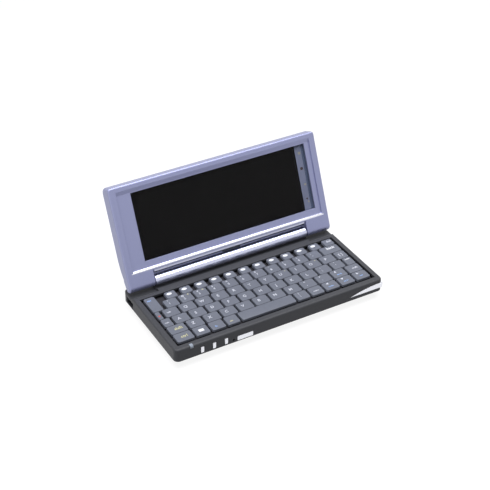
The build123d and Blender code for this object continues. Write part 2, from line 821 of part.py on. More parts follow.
# The flat behind each knuckle runs from the foot of the lid to touch the barrel at this point
foot_ds = lid_foot_s - axis_s
foot_dn = lid_foot_n - axis_n
touch_angle = atan2(foot_dn, foot_ds) - acos(knuckle_r / hypot(foot_ds, foot_dn))
knuckle_back = (axis_s + knuckle_r * cos(touch_angle), axis_n + knuckle_r * sin(touch_angle))

with BuildPart() as bezel:
    with BuildSketch(lid_face):
        with Locations((0, (lid_len + lid_foot_top_s) / 2)):
            Rectangle(width, lid_len - lid_foot_top_s)
    extrude(amount=lid_split_n)
    top_corners = bezel.edges().filter_by(
        lambda e: abs(abs(e.center().X) - half_w) < 0.01 and e.length < 6 and e.center().Z > 60
    )
    fillet(top_corners, lid_corner_r)
    # Knuckles: barrels about the hinge axis that run up into the front face
    for start_x in (-half_w, knuckle_in_x):
        with BuildSketch(lid_side.offset(start_x)):
            with BuildLine():
                Line((lid_foot_top_s, 0), (axis_s, 0))
                ThreePointArc((axis_s, 0), (axis_s - knuckle_r, axis_n), knuckle_back)
                Line(knuckle_back, (lid_foot_s, lid_foot_n))
                Line((lid_foot_s, lid_foot_n), (lid_foot_s, lid_split_n))
                Line((lid_foot_s, lid_split_n), (lid_foot_top_s, lid_split_n))
                Line((lid_foot_top_s, lid_split_n), (lid_foot_top_s, 0))
            make_face()
        extrude(amount=knuckle_len)
    # Rounded rim round the front face and down the outer end of both knuckles
    rim = bezel.edges().filter_by(
        lambda e: abs(lid_place(e).Z) < 0.01
        and (abs(e.center().X) > half_w - lid_corner_r or lid_place(e).Y > lid_len - 0.01)
    )
    knuckle_ends = bezel.edges().filter_by(
        lambda e: e.geom_type == GeomType.CIRCLE
        and abs(e.radius - knuckle_r) < 0.01
        and abs(e.center().X) > half_w - 0.01
    )
    fillet(rim + knuckle_ends, lid_rim_r)
    # Rounded foot between the knuckles
    with BuildSketch(lid_side.offset(-knuckle_in_x)):
        with BuildLine():
            Line((lid_foot_top_s, -1.5), (lid_foot_top_s, lid_split_n))
            Line((lid_foot_top_s, lid_split_n), (lid_foot_s, lid_split_n))
            ThreePointArc((lid_foot_s, lid_split_n), (10.9, -2.6), (lid_foot_top_s, -1.5))
        make_face()
    extrude(amount=2 * knuckle_in_x)
    # Small pad in the middle of the foot
    with BuildSketch(lid_side.offset(pad_x0)):
        with BuildLine():
            Polyline(
                (pad_s0, lid_split_n),
                (pad_s0, pad_n - 0.8),
                (pad_s0 + 0.8, pad_n),
                (lid_foot_top_s, pad_n),
                (lid_foot_top_s, lid_split_n),
                close=True,
            )
        make_face()
    extrude(amount=pad_x1 - pad_x0)
    # Recessed field round the window: its top edge is a slope, and the bead closes it below
    with BuildSketch(lid_side.offset(-field_half)):
        with BuildLine():
            Polyline(
                (bead_s, 0),
                (bead_s, -bezel_step),
                (field_s1 - field_slope, -bezel_step),
                (field_s1, 0),
                close=True,
            )
        make_face()
    extrude(amount=2 * field_half, mode=Mode.SUBTRACT)
    with BuildSketch(lid_side.offset(-bead_half)):
        with Locations((bead_s, -bead_r)):
            Circle(bead_r)
    extrude(amount=2 * bead_half)
    # Window
    with BuildSketch(lid_face):
        with Locations(((window_x0 + window_x1) / 2, (window_s0 + window_s1) / 2)):
            Rectangle(window_x1 - window_x0, window_s1 - window_s0)
    extrude(amount=lid_split_n, mode=Mode.SUBTRACT)
    # Hollow behind the frame for the screen
    with BuildSketch(lid_face.offset(bezel_back_n)):
        with Locations((0, (bezel_hollow_s0 + lid_hollow_s1) / 2)):
            Rectangle(width - 2 * lid_wall, lid_hollow_s1 - bezel_hollow_s0)
    extrude(amount=lid_split_n - bezel_back_n, mode=Mode.SUBTRACT)
    # Bores that turn on the hinge pins
    with BuildSketch(lid_side.offset(-pin_out - 0.3)):
        with Locations((axis_s, axis_n)):
            Circle(pin_r + pin_gap)
    extrude(amount=2 * pin_out + 0.6, mode=Mode.SUBTRACT)
save(bezel, "lid_bezel")

# Lid back: a shallow shell that thickens from the hinge and rolls over at the top
with BuildPart() as lid_cover:
    with BuildSketch(lid_side.offset(-half_w)):
        with BuildLine():
            Line((lid_foot_s, lid_split_n), (lid_foot_s, lid_foot_n))
            Spline(
                [(lid_foot_s, lid_foot_n), (17.0, -12.9), (30.0, -lid_t)],
                tangents=[(1.0, -0.42), (1.0, 0.0)],
            )
            Line((30.0, -lid_t), (lid_len - 5.0, -lid_t))
            ThreePointArc((lid_len - 5.0, -lid_t), (lid_len - 1.4, -12.6), (lid_len, -9.2))
            Line((lid_len, -9.2), (lid_len, lid_split_n))
            Line((lid_len, lid_split_n), (lid_foot_s, lid_split_n))
        make_face()
    extrude(amount=width)
    cover_corners = lid_cover.edges().filter_by(
        lambda e: abs(abs(e.center().X) - half_w) < 0.01
        and e.length < 4.4
        and e.center().Z > 80
        and e.geom_type == GeomType.LINE
    )
    fillet(cover_corners, lid_corner_r - 0.01)
    with BuildSketch(lid_face.offset(lid_split_n)):
        with Locations((0, (cover_hollow_s0 + lid_hollow_s1) / 2)):
            Rectangle(width - 2 * lid_wall, lid_hollow_s1 - cover_hollow_s0)
    extrude(amount=-(lid_t - lid_back_t + lid_split_n), mode=Mode.SUBTRACT)
    # Lip that closes the gap over the spine: a strip of ring about the hinge axis
    lip_angle = asin((axis_n - lid_split_n) / lip_r)
    lip_ring = [
        (axis_s + lip_r * cos(a), axis_n - lip_r * sin(a))
        for a in (lip_angle, (lip_angle + lip_end_angle) / 2, lip_end_angle)
    ]
    with BuildSketch(lid_side.offset(-lip_half)):
        with BuildLine():
            ThreePointArc(*lip_ring)
            Polyline(
                lip_ring[2],
                (lid_foot_s + 0.5, lip_ring[2][1] - 1.0),
                (lid_foot_s + 0.5, lid_split_n),
                lip_ring[0],
            )
        make_face()
    extrude(amount=2 * lip_half)
save(lid_cover, "lid_cover")

# Screen stack, front to back: touch glass, screen with the hot-key strip beside it, lamp board

glass_x0 = window_x0 - 2.0
glass_x1 = window_x1 + 2.0
glass_s0 = window_s0 - 1.8
glass_s1 = window_s1 + 1.8
with BuildPart() as touch_panel:
    with BuildSketch(lid_face.offset(bezel_back_n)):
        with Locations(((glass_x0 + glass_x1) / 2, (glass_s0 + glass_s1) / 2)):
            Rectangle(glass_x1 - glass_x0, glass_s1 - glass_s0)
    extrude(amount=-glass_t)
save(touch_panel, "touch_panel")

with BuildPart() as display:
    with BuildSketch(lid_face.offset(display_n)):
        with Locations(((glass_x0 + strip_x0) / 2, (glass_s0 + glass_s1) / 2)):
            Rectangle(strip_x0 - glass_x0, glass_s1 - glass_s0)
    extrude(amount=-display_t)
    with BuildSketch(lid_face.offset(display_n - display_t)):
        with Locations(((glass_x0 + glass_x1) / 2, (glass_s0 + glass_s1) / 2)):
            Rectangle(glass_x1 - glass_x0, glass_s1 - glass_s0)
    extrude(amount=-display_case_t)
save(display, "display_panel")

with BuildPart() as strip:
    with BuildSketch(lid_face.offset(display_n)):
        with Locations(((strip_x0 + glass_x1) / 2, (glass_s0 + glass_s1) / 2)):
            Rectangle(glass_x1 - strip_x0 - 0.1, glass_s1 - glass_s0)
    extrude(amount=-display_t)
save(strip, "hot_key_strip")

with BuildPart() as lamp_board:
    with BuildSketch(lid_face.offset(lamp_n)):
        with Locations((-30, 50)):
            Rectangle(70, 12)
    extrude(amount=-0.8)
    with BuildSketch(lid_face.offset(lamp_n - 0.8)):
        with Locations((-50, 50)):
            Rectangle(14, 9)
        with Locations((-22, 50)):
            Rectangle(8, 7)
    extrude(amount=-2.4)
save(lamp_board, "backlight_board")

# Flat cable from the screen's foot towards the spine
with BuildPart() as cable:
    with BuildSketch(lid_face.offset(lamp_n)):
        with Locations((30, 24.0)):
            Rectangle(24, 14)
    extrude(amount=-0.3)
save(cable, "display_cable")
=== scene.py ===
import json
from math import cos, pi, radians, sin

import bmesh
import bpy
from mathutils import Matrix, Vector


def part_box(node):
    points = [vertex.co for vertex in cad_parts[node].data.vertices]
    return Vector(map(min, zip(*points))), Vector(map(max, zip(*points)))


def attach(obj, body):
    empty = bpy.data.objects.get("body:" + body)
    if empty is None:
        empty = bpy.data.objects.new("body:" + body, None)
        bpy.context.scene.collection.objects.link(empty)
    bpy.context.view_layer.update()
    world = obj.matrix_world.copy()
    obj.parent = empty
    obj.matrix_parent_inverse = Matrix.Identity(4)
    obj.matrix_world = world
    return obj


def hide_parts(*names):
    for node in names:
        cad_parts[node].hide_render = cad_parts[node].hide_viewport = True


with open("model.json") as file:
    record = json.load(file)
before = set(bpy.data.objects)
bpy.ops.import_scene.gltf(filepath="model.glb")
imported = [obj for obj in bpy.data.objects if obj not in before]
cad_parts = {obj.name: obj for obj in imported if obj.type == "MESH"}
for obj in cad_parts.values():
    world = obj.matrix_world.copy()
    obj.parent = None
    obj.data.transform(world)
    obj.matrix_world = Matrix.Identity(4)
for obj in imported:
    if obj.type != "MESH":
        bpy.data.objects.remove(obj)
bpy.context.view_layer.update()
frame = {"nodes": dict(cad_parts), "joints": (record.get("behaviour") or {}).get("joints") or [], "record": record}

# Camera
# The view of the photograph: from the front left and well above, through a long lens that
# keeps the rows of keys nearly parallel.
mm = 0.001
view_azimuth = radians(-30.1)
view_height = radians(34.9)
view_roll = radians(0.55)
view_distance = 978.35 * mm
aim = Vector((0, 0, 37 * mm))
aim_right = -6.52 * mm
aim_up = 14.67 * mm
photo_side = 490
focal_pixels = 1226.4
sensor = 36.0
nearest = 50 * mm

back = Vector(
    (
        sin(view_azimuth) * cos(view_height),
        -cos(view_azimuth) * cos(view_height),
        sin(view_height),
    )
)
level_right = Vector((cos(view_azimuth), sin(view_azimuth), 0))
level_up = back.cross(level_right)
right = level_right * cos(view_roll) + level_up * sin(view_roll)
up = level_up * cos(view_roll) - level_right * sin(view_roll)
turn = Matrix((right, up, back)).transposed()
camera_data = bpy.data.cameras.new("camera")
camera_data.sensor_width = sensor
camera_data.lens = focal_pixels / photo_side * sensor
camera_data.clip_start = nearest
camera = bpy.data.objects.new("camera", camera_data)
bpy.context.scene.collection.objects.link(camera)
camera.matrix_world = Matrix.Translation(
    aim + back * view_distance + right * aim_right + up * aim_up
) @ turn.to_4x4()
bpy.context.scene.camera = camera
bpy.context.scene.view_settings.view_transform = "Standard"

# Light
# A photographer's table: a wide softbox overhead, which leaves upright walls dark, and a weak
# low softbox at the left.


def softbox(name, place, towards, width, depth, watts):
    """A rectangular lamp at a place, turned to face a point, all in metres."""
    data = bpy.data.lights.new(name, "AREA")
    data.shape = "RECTANGLE"
    data.size = width
    data.size_y = depth
    data.energy = watts
    lamp = bpy.data.objects.new(name, data)
    bpy.context.scene.collection.objects.link(lamp)
    lamp.location = place
    lamp.rotation_euler = (Vector(towards) - Vector(place)).to_track_quat("-Z", "Y").to_euler()


softbox(
    "overhead_light",
    place=(0, -0.05, 0.9), towards=(0, 0, 0), width=1.1, depth=0.7, watts=12.6,
)
softbox(
    "left_light",
    place=(-0.95, -0.25, 0.3), towards=(0, 0, 0.04), width=0.5, depth=0.5, watts=1.5,
)


def linear(code):
    """An sRGB hex colour as the linear colour that shaders take."""
    parts = [int(code[i : i + 2], 16) / 255 for i in (1, 3, 5)]
    return [c / 12.92 if c <= 0.04045 else ((c + 0.055) / 1.055) ** 2.4 for c in parts] + [1]


def add_node(owner, kind, inputs=None, **settings):
    """Add one node; an input takes a value or another node's output."""
    node = owner.node_tree.nodes.new("ShaderNode" + kind)
    for name, value in settings.items():
        setattr(node, name, value)
    for name, value in (inputs or {}).items():
        if isinstance(value, bpy.types.NodeSocket):
            owner.node_tree.links.new(value, node.inputs[name])
        else:
            node.inputs[name].default_value = value
    return node


def seen_by(owner, first_ray, *other_rays):
    """One for rays of the named kinds, and zero for all others."""
    kinds = add_node(owner, "LightPath").outputs
    seen = kinds[first_ray]
    for ray in other_rays:
        seen = add_node(owner, "Math", {0: seen, 1: kinds[ray]}, operation="MAXIMUM").outputs[0]
    return seen


# White paper to the camera and in reflections, and a dimmer white as light on the object
ambient = 0.18
world = bpy.data.worlds.new("studio")
bpy.context.scene.world = world
world.use_nodes = True
world.node_tree.nodes.clear()
paper_seen = seen_by(world, "Is Camera Ray", "Is Glossy Ray", "Is Transmission Ray")
strength = add_node(world, "MapRange", {"Value": paper_seen, "To Min": ambient, "To Max": 1.0})
sky = add_node(
    world, "Background", {"Color": linear("#FFFFFF"), "Strength": strength.outputs[0]}
)
add_node(world, "OutputWorld", {"Surface": sky.outputs[0]})

# Floor
# A sheet of grey card under the feet. It glows to the camera, so that it reads as white, throws
# little light up the dark walls, and still keeps a soft shadow.
floor_side = 8.0
floor_drop = 0.02 * mm
card_glow = 0.88


def empty_material(name):
    """A material with no nodes yet."""
    material = bpy.data.materials.new(name)
    material.use_nodes = True
    material.node_tree.nodes.clear()
    return material


card = empty_material("grey_card")
card_seen = seen_by(card, "Is Camera Ray", "Is Glossy Ray")
glow = add_node(card, "Math", {0: card_seen, 1: card_glow}, operation="MULTIPLY")
card_light = add_node(card, "Emission", {"Color": linear("#FFFFFF"), "Strength": glow.outputs[0]})
card_paper = add_node(card, "BsdfDiffuse", {"Color": linear("#727274")})
card_sum = add_node(card, "AddShader", {0: card_light.outputs[0], 1: card_paper.outputs[0]})
add_node(card, "OutputMaterial", {"Surface": card_sum.outputs[0]})
bpy.ops.object.select_all(action="DESELECT")
bpy.ops.mesh.primitive_plane_add(size=floor_side, location=(0, 0, -floor_drop))
floor = bpy.context.object
floor.name = "floor"
floor.data.materials.append(card)

# Base shells
# Tray, upper case and the small latch, cover and eject button are injection-moulded ABS, dark
# grey all through, with the fine matt texture of a spark-eroded mould. Their edges are a
# little smoother from handling.

# The grain of such a mould is about 0.2 mm across and is drawn coarser, so that it shows. The
# faint clouds in the plastic's colour are this far apart.
cloud_mm = 18.2
# Places of a colour Mix node's sockets: its share, its two colours and its result
mix_share = 0
mix_first = 6
mix_second = 7
mix_result = 2


def scaled(colour, factor):
    """A linear colour made lighter or darker."""
    return [min(1.0, part * factor) for part in colour[:3]] + [1]


def moulded_plastic(name, colour, roughness, grain_mm, depth_mm, edge_mm, worn=1.25):
    """Textured moulded plastic: fine grain, faint clouding, soft edges rubbed smoother."""
    material = empty_material(name)
    tone = linear(colour)
    place = add_node(material, "TexCoord").outputs["Object"]
    grain = add_node(
        material, "TexNoise",
        {"Vector": place, "Scale": 1 / (grain_mm * mm), "Detail": 3.0, "Roughness": 0.6},
    )
    cloud = add_node(
        material, "TexNoise", {"Vector": place, "Scale": 1 / (cloud_mm * mm), "Detail": 2.0}
    )
    clouded = add_node(
        material, "Mix",
        {
            mix_share: cloud.outputs["Fac"],
            mix_first: scaled(tone, 0.93),
            mix_second: scaled(tone, 1.07),
        },
        data_type="RGBA",
    )
    speckled = add_node(
        material, "Mix",
        {
            mix_share: grain.outputs["Fac"],
            mix_first: scaled(tone, 0.86),
            mix_second: scaled(tone, 1.14),
        },
        data_type="RGBA",
    )
    mixed = add_node(
        material, "Mix",
        {
            mix_share: 0.5,
            mix_first: clouded.outputs[mix_result],
            mix_second: speckled.outputs[mix_result],
        },
        data_type="RGBA",
    )
    corner = add_node(material, "Bevel", {"Radius": edge_mm * mm}, samples=4)
    flat = add_node(material, "NewGeometry").outputs["Normal"]
    facing = add_node(
        material, "VectorMath", {0: corner.outputs[0], 1: flat}, operation="DOT_PRODUCT"
    )
    rubbed = add_node(
        material, "MapRange",
        {"Value": facing.outputs["Value"], "From Min": 0.99, "From Max": 0.8},
    )
    patchy = add_node(
        material, "Math", {0: rubbed.outputs[0], 1: cloud.outputs["Fac"]}, operation="MULTIPLY"
    )
    base = add_node(
        material, "Mix",
        {
            mix_share: patchy.outputs[0],
            mix_first: mixed.outputs[mix_result],
            mix_second: scaled(tone, worn),
        },
        data_type="RGBA",
    )
    smooth = add_node(
        material, "MapRange",
        {"Value": patchy.outputs[0], "To Min": roughness, "To Max": roughness * 0.75},
    )
    bump = add_node(
        material, "Bump",
        {"Distance": depth_mm * mm, "Height": grain.outputs["Fac"], "Normal": corner.outputs[0]},
    )
    surface = add_node(
        material, "BsdfPrincipled",
        {
            "Base Color": base.outputs[mix_result],
            "Roughness": smooth.outputs[0],
            "IOR": 1.5,
            "Specular IOR Level": 0.3,
            "Normal": bump.outputs[0],
        },
    )
    add_node(material, "OutputMaterial", {"Surface": surface.outputs[0]})
    return material


def make_of(material, *names):
    """Give CAD nodes their material."""
    for name in names:
        node = frame["nodes"][name]
        node.data.materials.clear()
        node.data.materials.append(material)


case_plastic = moulded_plastic(
    "moulded_abs_charcoal", "#3C3D42", roughness=0.5, grain_mm=0.5, depth_mm=0.03, edge_mm=0.35
)
make_of(case_plastic, "base_lower_shell", "keyboard_deck", "battery_latch")
make_of(case_plastic, "backup_battery_cover", "card_eject_button")

# Feet and screws
# Four moulded rubber pads sit in round recesses, and four zinc-plated screws hold the two
# shells together from below. The hinge pins and the coin cell are bright steel as well.
foot_rubber = moulded_plastic(
    "moulded_black_rubber", "#1B1B1D",
    roughness=0.8, grain_mm=0.4, depth_mm=0.03, edge_mm=0.2, worn=1.1,
)
make_of(foot_rubber, "rubber_feet")
# The metal's streaks are a few hundredths of a millimetre wide and are drawn coarser, so that
# they show, and this many times as long as wide
streak_length = 25


def plated_metal(name, colour, roughness, streak_mm):
    """Plated or drawn metal with faint streaks along X and a slightly uneven polish."""
    material = empty_material(name)
    place = add_node(material, "TexCoord").outputs["Object"]
    stretched = add_node(
        material, "Mapping", {"Vector": place, "Scale": (1 / streak_length, 1.0, 1.0)}
    )
    streak = add_node(
        material, "TexNoise",
        {"Vector": stretched.outputs[0], "Scale": 1 / (streak_mm * mm), "Detail": 4.0},
    )
    tone = linear(colour)
    base = add_node(
        material, "Mix",
        {
            mix_share: streak.outputs["Fac"],
            mix_first: scaled(tone, 0.9),
            mix_second: scaled(tone, 1.08),
        },
        data_type="RGBA",
    )
    rough = add_node(
        material, "MapRange",
        {"Value": streak.outputs["Fac"], "To Min": roughness * 0.8, "To Max": roughness * 1.2},
    )
    bump = add_node(
        material, "Bump", {"Distance": 0.004 * mm, "Height": streak.outputs["Fac"]}
    )
    surface = add_node(
        material, "BsdfPrincipled",
        {
            "Base Color": base.outputs[mix_result],
            "Metallic": 1.0,
            "Roughness": rough.outputs[0],
            "Normal": bump.outputs[0],
        },
    )
    add_node(material, "OutputMaterial", {"Surface": surface.outputs[0]})
    return material


screw_steel = plated_metal("zinc_plated_steel", "#8E9094", roughness=0.35, streak_mm=0.3)
make_of(screw_steel, "base_screws", "hinge_pins", "coin_cell")

# Battery
# Two cells in a closed box of plain dark ABS, which slides up into its bay from below. Its
# outer face is part of the underside.
battery_plastic = moulded_plastic(
    "moulded_abs_black", "#2B2C30", roughness=0.45, grain_mm=0.5, depth_mm=0.03, edge_mm=0.3
)
make_of(battery_plastic, "battery_pack")

# Boards and inner parts
# Green glass-epoxy boards under solder mask, tinned sheet steel round the card slot, and the
# amber film of the screen's flat cable. Only the steel can be seen, through the slot.
board_mask = moulded_plastic(
    "solder_mask_green", "#1F5B37", roughness=0.35, grain_mm=1.2, depth_mm=0.01, edge_mm=0.1
)
make_of(board_mask, "main_board", "backlight_board")
tinned_steel = plated_metal("tinned_sheet_steel", "#A9ABAE", roughness=0.3, streak_mm=0.5)
make_of(tinned_steel, "card_cage")
cable_film = moulded_plastic(
    "polyimide_film", "#B4721F", roughness=0.3, grain_mm=2.0, depth_mm=0.01, edge_mm=0.05
)
make_of(cable_film, "display_cable")

# Sockets
# Black nylon housings behind the walls, with gold-plated brass pressed into two of them: strips
# on both sides of the serial tongue, and springs in the phone socket. The speaker and the
# microphone behind their holes are as black.
socket_nylon = moulded_plastic(
    "moulded_black_nylon", "#17171A", roughness=0.4, grain_mm=0.6, depth_mm=0.02, edge_mm=0.15
)
make_of(socket_nylon, "phone_jack", "power_jack", "headphone_jack", "serial_connector")
make_of(socket_nylon, "speaker", "microphone")
gold_plate = plated_metal("gold_plated_brass", "#C9A24B", roughness=0.25, streak_mm=0.3)


def select_alone(*parts):
    """Select only these parts; the first is the active one."""
    bpy.ops.object.select_all(action="DESELECT")
    for part in parts:
        part.select_set(True)
    bpy.context.view_layer.objects.active = parts[0]


def join_as(name, parts):
    """Join mesh parts into one piece with its place in its mesh."""
    select_alone(*parts)
    if len(parts) > 1:
        bpy.ops.object.join()
    bpy.ops.object.transform_apply(location=True, rotation=True, scale=True)
    piece = bpy.context.object
    piece.name = name
    piece.data.name = name
    return piece


def edit_only(piece, kind, test):
    """Open a piece in edit mode with only the faces or edges that pass a test selected."""
    if bpy.context.mode == "EDIT_MESH":
        bpy.ops.object.mode_set(mode="OBJECT")
    select_alone(piece)
    bpy.ops.object.mode_set(mode="EDIT")
    bpy.ops.mesh.select_mode(type=kind)
    bpy.ops.mesh.select_all(action="DESELECT")
    mesh = bmesh.from_edit_mesh(piece.data)
    parts = mesh.faces if kind == "FACE" else mesh.edges
    for part in parts:
        if test(part):
            part.select_set(True)
    bmesh.update_edit_mesh(piece.data)


def plain_block(size, place):
    """A block of a size, centred on a place."""
    bpy.ops.object.select_all(action="DESELECT")
    bpy.ops.mesh.primitive_cube_add(size=1.0, location=place)
    block = bpy.context.object
    block.scale = size
    bpy.ops.object.transform_apply(location=True, rotation=True, scale=True)
    return block


def rounded_block(size, place, radius):
    """A block with all its edges rounded by one bevel."""
    block = plain_block(size, place)
    edit_only(block, "EDGE", lambda edge: True)
    bpy.ops.mesh.bevel(offset=radius, segments=2, affect="EDGES")
    bpy.ops.object.mode_set(mode="OBJECT")
    return block


def spread(low, high, pitch, count):
    """Places at an even pitch, centred between two ends."""
    return [(low + high) / 2 + (i - (count - 1) / 2) * pitch for i in range(count)]


serial_low, serial_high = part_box("serial_connector")
tongue_z = (serial_low.z + serial_high.z) / 2
tongue_half = 0.7 * mm
strip_count = 13
strip_pitch = 1.8 * mm
strip_size = (0.8 * mm, 5.0 * mm, 0.16 * mm)
strip_edge = 0.04 * mm
strip_y = serial_high.y - 3.2 * mm
strips = []
for x in spread(serial_low.x, serial_high.x, strip_pitch, strip_count):
    for side in (-1, 1):
        spot = (x, strip_y, tongue_z + side * tongue_half)
        strips.append(rounded_block(strip_size, spot, strip_edge))
serial_contacts = join_as("serial_contacts", strips)
serial_contacts.data.materials.append(gold_plate)
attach(serial_contacts, "base")

phone_low, phone_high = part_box("phone_jack")
spring_count = 6
spring_pitch = 1.02 * mm
spring_size = (9.0 * mm, 0.45 * mm, 0.3 * mm)
spring_edge = 0.1 * mm
spring_x = phone_low.x + 6.0 * mm
spring_z = phone_high.z - 2.1 * mm
springs = []
for y in spread(phone_low.y, phone_high.y, spring_pitch, spring_count):
    springs.append(rounded_block(spring_size, (spring_x, y, spring_z), spring_edge))
phone_springs = join_as("phone_springs", springs)
phone_springs.data.materials.append(gold_plate)
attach(phone_springs, "base")

# Infrared window
# A pane of deep red acrylic with a polished face, which looks nearly black but lets infrared
# light through. It is pressed into the rear wall.
infrared = moulded_plastic(
    "infrared_acrylic", "#220B10", roughness=0.12, grain_mm=3.0, depth_mm=0.002, edge_mm=0.2
)
make_of(infrared, "infrared_window")

# Keyboard pan and dome sheet
# The pan is black-painted steel, and the rubber dome sheet lies in it. Together they are the
# dark ground between the keys.
pan_paint = moulded_plastic(
    "black_painted_steel", "#222126", roughness=0.5, grain_mm=0.4, depth_mm=0.01, edge_mm=0.1
)
make_of(pan_paint, "keyboard_plate")
dome_rubber = moulded_plastic(
    "silicone_dome_sheet", "#2A292F", roughness=0.75, grain_mm=0.6, depth_mm=0.02, edge_mm=0.2
)
make_of(dome_rubber, "key_dome_sheet")

# Front wall fittings
# Three voice keys and a blank badge plate in the front wall, and the stylus in its silo at the
# right, all of ABS under a bright silver lacquer. The status light is a clear acrylic lens.
voice_keys = ("record_key", "play_key", "stop_key")
# The lacquer's flakes are a few hundredths of a millimetre across and are drawn coarser, so
# that they show. The soft clouds of a sprayed coat are this far apart.
spray_mm = 33.3


def silver_lacquer(name, colour, metallic, roughness, flake_mm):
    """Metallic paint: a base tone with fine flakes under a thin clear coat."""
    material = empty_material(name)
    place = add_node(material, "TexCoord").outputs["Object"]
    flake = add_node(
        material, "TexVoronoi", {"Vector": place, "Scale": 1 / (flake_mm * mm)}
    )
    cloud = add_node(
        material, "TexNoise", {"Vector": place, "Scale": 1 / (spray_mm * mm), "Detail": 2.0}
    )
    tone = linear(colour)
    spark = add_node(material, "SeparateColor", {"Color": flake.outputs["Color"]}).outputs[0]
    flaked = add_node(
        material, "Mix",
        {mix_share: spark, mix_first: scaled(tone, 0.93), mix_second: scaled(tone, 1.08)},
        data_type="RGBA",
    )
    clouded = add_node(
        material, "Mix",
        {
            mix_share: cloud.outputs["Fac"],
            mix_first: scaled(tone, 0.96),
            mix_second: scaled(tone, 1.04),
        },
        data_type="RGBA",
    )
    base = add_node(
        material, "Mix",
        {
            mix_share: 0.5,
            mix_first: flaked.outputs[mix_result],
            mix_second: clouded.outputs[mix_result],
        },
        data_type="RGBA",
    )
    rough = add_node(
        material, "MapRange",
        {"Value": spark, "To Min": roughness * 0.9, "To Max": roughness * 1.15},
    )
    corner = add_node(material, "Bevel", {"Radius": 0.4 * mm}, samples=4)
    bump = add_node(
        material, "Bump",
        {"Distance": 0.004 * mm, "Height": spark, "Normal": corner.outputs[0]},
    )
    surface = add_node(
        material, "BsdfPrincipled",
        {
            "Base Color": base.outputs[mix_result],
            "Metallic": metallic,
            "Roughness": rough.outputs[0],
            "IOR": 1.5,
            "Coat Weight": 0.15,
            "Coat Roughness": 0.35,
            "Normal": bump.outputs[0],
        },
    )
    add_node(material, "OutputMaterial", {"Surface": surface.outputs[0]})
    return material


bright_silver = silver_lacquer(
    "bright_silver_lacquer", "#F0F1F8", metallic=0.75, roughness=0.28, flake_mm=0.3
)
make_of(bright_silver, *voice_keys, "badge_plate", "stylus")
lens = moulded_plastic(
    "clear_acrylic_lens", "#8F98A6", roughness=0.15, grain_mm=3.0, depth_mm=0.002, edge_mm=0.3
)
make_of(lens, "status_light")

# Keys
# Each key is a thin moulded ABS cap, slate grey, with steep sides, a rounded rim and a shallow
# dish for the fingertip. It is hollow below, where it goes down over its rubber dome, and
# stands within the outline of the frame's key.
key_nodes = [
    name for name in frame["record"]["behaviour"]["bodies"]
    if name.endswith(("_key", "_keys", "_bar")) and name not in voice_keys
]
key_plastic = moulded_plastic(
    "moulded_abs_slate", "#676B77",
    roughness=0.48, grain_mm=0.4, depth_mm=0.02, edge_mm=0.2, worn=1.12,
)
key_corner = 1.4 * mm
key_inset_x = 0.35 * mm
key_draft_x = 0.3 * mm
key_draft_y = 0.05 * mm
key_rim = 0.2 * mm
key_wall = 1.5 * mm
key_roof = 1.1 * mm
dish_depth = 0.25 * mm
dish_rings = (0.85, 0.6, 0.3)
# Corners closer than this are one corner
weld = 0.001 * mm
# A face is level where its normal points this far along Z
level = 0.99
just_below = 0.01 * mm
smooth_angle = radians(32)


def key_outlines(name):
    """The box of each key in a node, from left to right."""
    mesh = bmesh.new()
    mesh.from_mesh(frame["nodes"][name].data)
    bmesh.ops.remove_doubles(mesh, verts=mesh.verts, dist=weld)
    left_over = set(mesh.verts)
    outlines = []
    while left_over:
        reached = [left_over.pop()]
        for vert in reached:
            for edge in vert.link_edges:
                other = edge.other_vert(vert)
                if other in left_over:
                    left_over.remove(other)
                    reached.append(other)
        places = [vert.co for vert in reached]
        low = Vector(min(p[i] for p in places) for i in range(3))
        high = Vector(max(p[i] for p in places) for i in range(3))
        outlines.append((low, high))
    mesh.free()
    return sorted(outlines, key=lambda box: box[0].x)


def rise(edge):
    """How far an edge climbs along Z in its own mesh."""
    return abs(edge.verts[0].co.z - edge.verts[1].co.z)


def model_cap(width, depth, height, dish):
    """One key cap, centred on the origin with its foot at z = 0."""
    rim_z = height - just_below
    cap = plain_block((width, depth, height), (0, 0, height / 2))
    edit_only(cap, "EDGE", lambda edge: rise(edge) > height / 2)
    bpy.ops.mesh.bevel(offset=key_corner, segments=5, affect="EDGES")
    edit_only(cap, "FACE", lambda face: face.normal.z > level)
    bpy.ops.transform.resize(
        value=((width - 2 * key_draft_x) / width, (depth - 2 * key_draft_y) / depth, 1.0)
    )
    edit_only(cap, "EDGE", lambda edge: min(vert.co.z for vert in edge.verts) > rim_z)
    bpy.ops.mesh.bevel(offset=key_rim, segments=3, affect="EDGES")
    edit_only(cap, "FACE", lambda face: face.normal.z < -level)
    bpy.ops.mesh.inset(thickness=key_wall, use_even_offset=True)
    bpy.ops.mesh.extrude_region_move(
        TRANSFORM_OT_translate={"value": (0, 0, height - key_roof)}
    )
    edit_only(
        cap, "FACE", lambda face: face.normal.z > level and face.calc_center_median().z > rim_z
    )
    rings = dish_rings if dish else ()
    outer = 1.0
    for ring in rings:
        sink = dish * (outer**2 - ring**2)
        bpy.ops.mesh.extrude_region_move(TRANSFORM_OT_translate={"value": (0, 0, -sink)})
        bpy.ops.transform.resize(value=(ring / outer, ring / outer, 1.0))
        outer = ring
    bpy.ops.object.mode_set(mode="OBJECT")
    bpy.ops.object.shade_smooth_by_angle(angle=smooth_angle)
    return cap


def short_name(node):
    """A key node's name without its last word."""
    return node.replace("_keys", "").replace("_key", "")


